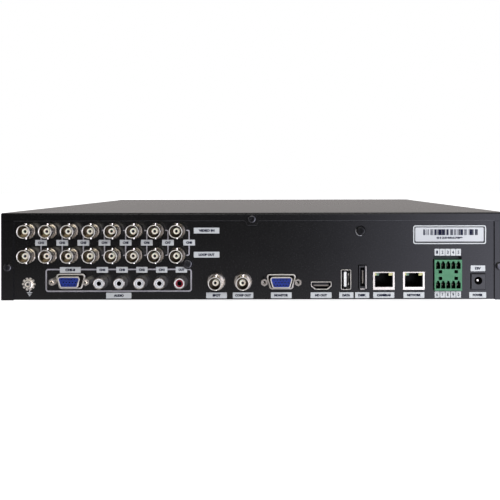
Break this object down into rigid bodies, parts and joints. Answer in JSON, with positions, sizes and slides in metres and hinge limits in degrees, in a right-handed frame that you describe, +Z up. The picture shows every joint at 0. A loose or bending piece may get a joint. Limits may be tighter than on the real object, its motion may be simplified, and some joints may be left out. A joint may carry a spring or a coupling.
{
  "type": "digital video recorder",
  "caption": "Flat black steel video recorder for cameras: rows of BNC, phono, D-sub, data and network connectors behind, buttons and a smoked window in front.",
  "frame": {"origin": "on the floor under the middle of the recorder's outside box, feet at z = 0", "axes": "+Z up; the front bezel faces -Y and the connector panel faces +Y; +X is to the right seen from the front"},
  "size_m": [0.38, 0.345, 0.0702],
  "materials": {
    "black_steel": "fine-texture satin black powder coat",
    "bezel_plastic": "fine spark texture",
    "foot_rubber": "matt",
    "label_film": "satin printed film",
    "black_screws": "black oxide, slight sheen",
    "zinc_steel": "zinc plated",
    "board_laminate": "green solder mask",
    "heatsink_aluminium": "anodised",
    "chip_black": "moulded epoxy",
    "capacitor_sleeve": "shrink sleeve",
    "cell_steel": "bright nickel",
    "nickel_plate": "bright nickel plate",
    "tin_plate": "bright tin plate",
    "insulator_cream": "satin",
    "contact_brass": "gold flash",
    "connector_black": "satin nylon",
    "phono_white": "satin",
    "phono_red": "satin",
    "dsub_blue": "satin",
    "tongue_white": "satin",
    "lamp_lens": "translucent",
    "terminal_green": "satin nylon",
    "galvanised_steel": "galvanised",
    "drive_casting": "die cast",
    "drive_lid": "brushed",
    "cable_red": "satin",
    "fan_black": "satin",
    "ribbon_white": "satin",
    "smoked_window": "dark smoked acrylic",
    "button_plastic": "satin"
  },
  "bodies": {
    "root": {"base_tray": "black_steel", "rear_panel": "black_steel", "top_cover": "black_steel", "front_bezel": "bezel_plastic", "rubber_feet": "foot_rubber", "serial_label": "label_film", "panel_screws": "black_screws", "board_screws": "zinc_steel", "earth_screw": "zinc_steel", "earth_washer": "zinc_steel", "main_board": "board_laminate", "video_board": "board_laminate", "key_board": "board_laminate", "heatsink": "heatsink_aluminium", "board_chips": "chip_black", "board_capacitors": "capacitor_sleeve", "coin_cell": "cell_steel", "video_in_bnc_shells": "nickel_plate", "loop_out_bnc_shells": "nickel_plate", "monitor_bnc_shells": "nickel_plate", "bnc_insulators": "insulator_cream", "bnc_contacts": "contact_brass", "phono_housing": "connector_black", "phono_sleeves": "nickel_plate", "phono_inserts_white": "phono_white", "phono_insert_red": "phono_red", "dsub_shells": "nickel_plate", "dsub_inserts": "dsub_blue", "dsub_jackscrews": "nickel_plate", "hd_port_shell": "nickel_plate", "hd_port_tongue": "connector_black", "usb_port_shells": "nickel_plate", "usb_port_tongues": "tongue_white", "disk_port_shell": "nickel_plate", "disk_port_tongue": "connector_black", "lan_shields": "tin_plate", "lan_housings": "connector_black", "lan_contacts": "contact_brass", "lan_lamps": "lamp_lens", "terminal_header": "terminal_green", "terminal_pins": "tin_plate", "dc_jack_housing": "connector_black", "dc_jack_pin": "nickel_plate", "drive_bracket": "galvanised_steel", "drive_castings": "drive_casting", "drive_lids": "drive_lid", "drive_screws": "zinc_steel", "drive_cables": "cable_red", "fan_frame": "fan_black", "key_ribbon": "ribbon_white", "key_switches": "chip_black", "ir_window": "smoked_window"},
    "fan_rotor": {"fan_rotor": "fan_black"},
    "power_button": {"power_button": "button_plastic"},
    "enter_button": {"enter_button": "button_plastic"},
    "menu_button": {"menu_button": "button_plastic"},
    "up_button": {"up_button": "button_plastic"},
    "down_button": {"down_button": "button_plastic"},
    "left_button": {"left_button": "button_plastic"},
    "right_button": {"right_button": "button_plastic"}
  },
  "joints": [
    {"name": "fan_spin", "type": "hinge", "parent": "root", "child": "fan_rotor", "pos_m": [0.1798, 0.0475, 0.039], "axis": [1, 0, 0], "continuous": true},
    {"name": "power_press", "type": "slide", "parent": "root", "child": "power_button", "axis": [0, 1, 0], "range_m": [0, 0.0008], "stiffness_N_per_m": 600, "springref_m": -0.0008},
    {"name": "enter_press", "type": "slide", "parent": "root", "child": "enter_button", "axis": [0, 1, 0], "range_m": [0, 0.0008], "stiffness_N_per_m": 600, "springref_m": -0.0008},
    {"name": "menu_press", "type": "slide", "parent": "root", "child": "menu_button", "axis": [0, 1, 0], "range_m": [0, 0.0008], "stiffness_N_per_m": 600, "springref_m": -0.0008},
    {"name": "up_press", "type": "slide", "parent": "root", "child": "up_button", "axis": [0, 1, 0], "range_m": [0, 0.0008], "stiffness_N_per_m": 600, "springref_m": -0.0008},
    {"name": "down_press", "type": "slide", "parent": "root", "child": "down_button", "axis": [0, 1, 0], "range_m": [0, 0.0008], "stiffness_N_per_m": 600, "springref_m": -0.0008},
    {"name": "left_press", "type": "slide", "parent": "root", "child": "left_button", "axis": [0, 1, 0], "range_m": [0, 0.0008], "stiffness_N_per_m": 600, "springref_m": -0.0008},
    {"name": "right_press", "type": "slide", "parent": "root", "child": "right_button", "axis": [0, 1, 0], "range_m": [0, 0.0008], "stiffness_N_per_m": 600, "springref_m": -0.0008}
  ]
}
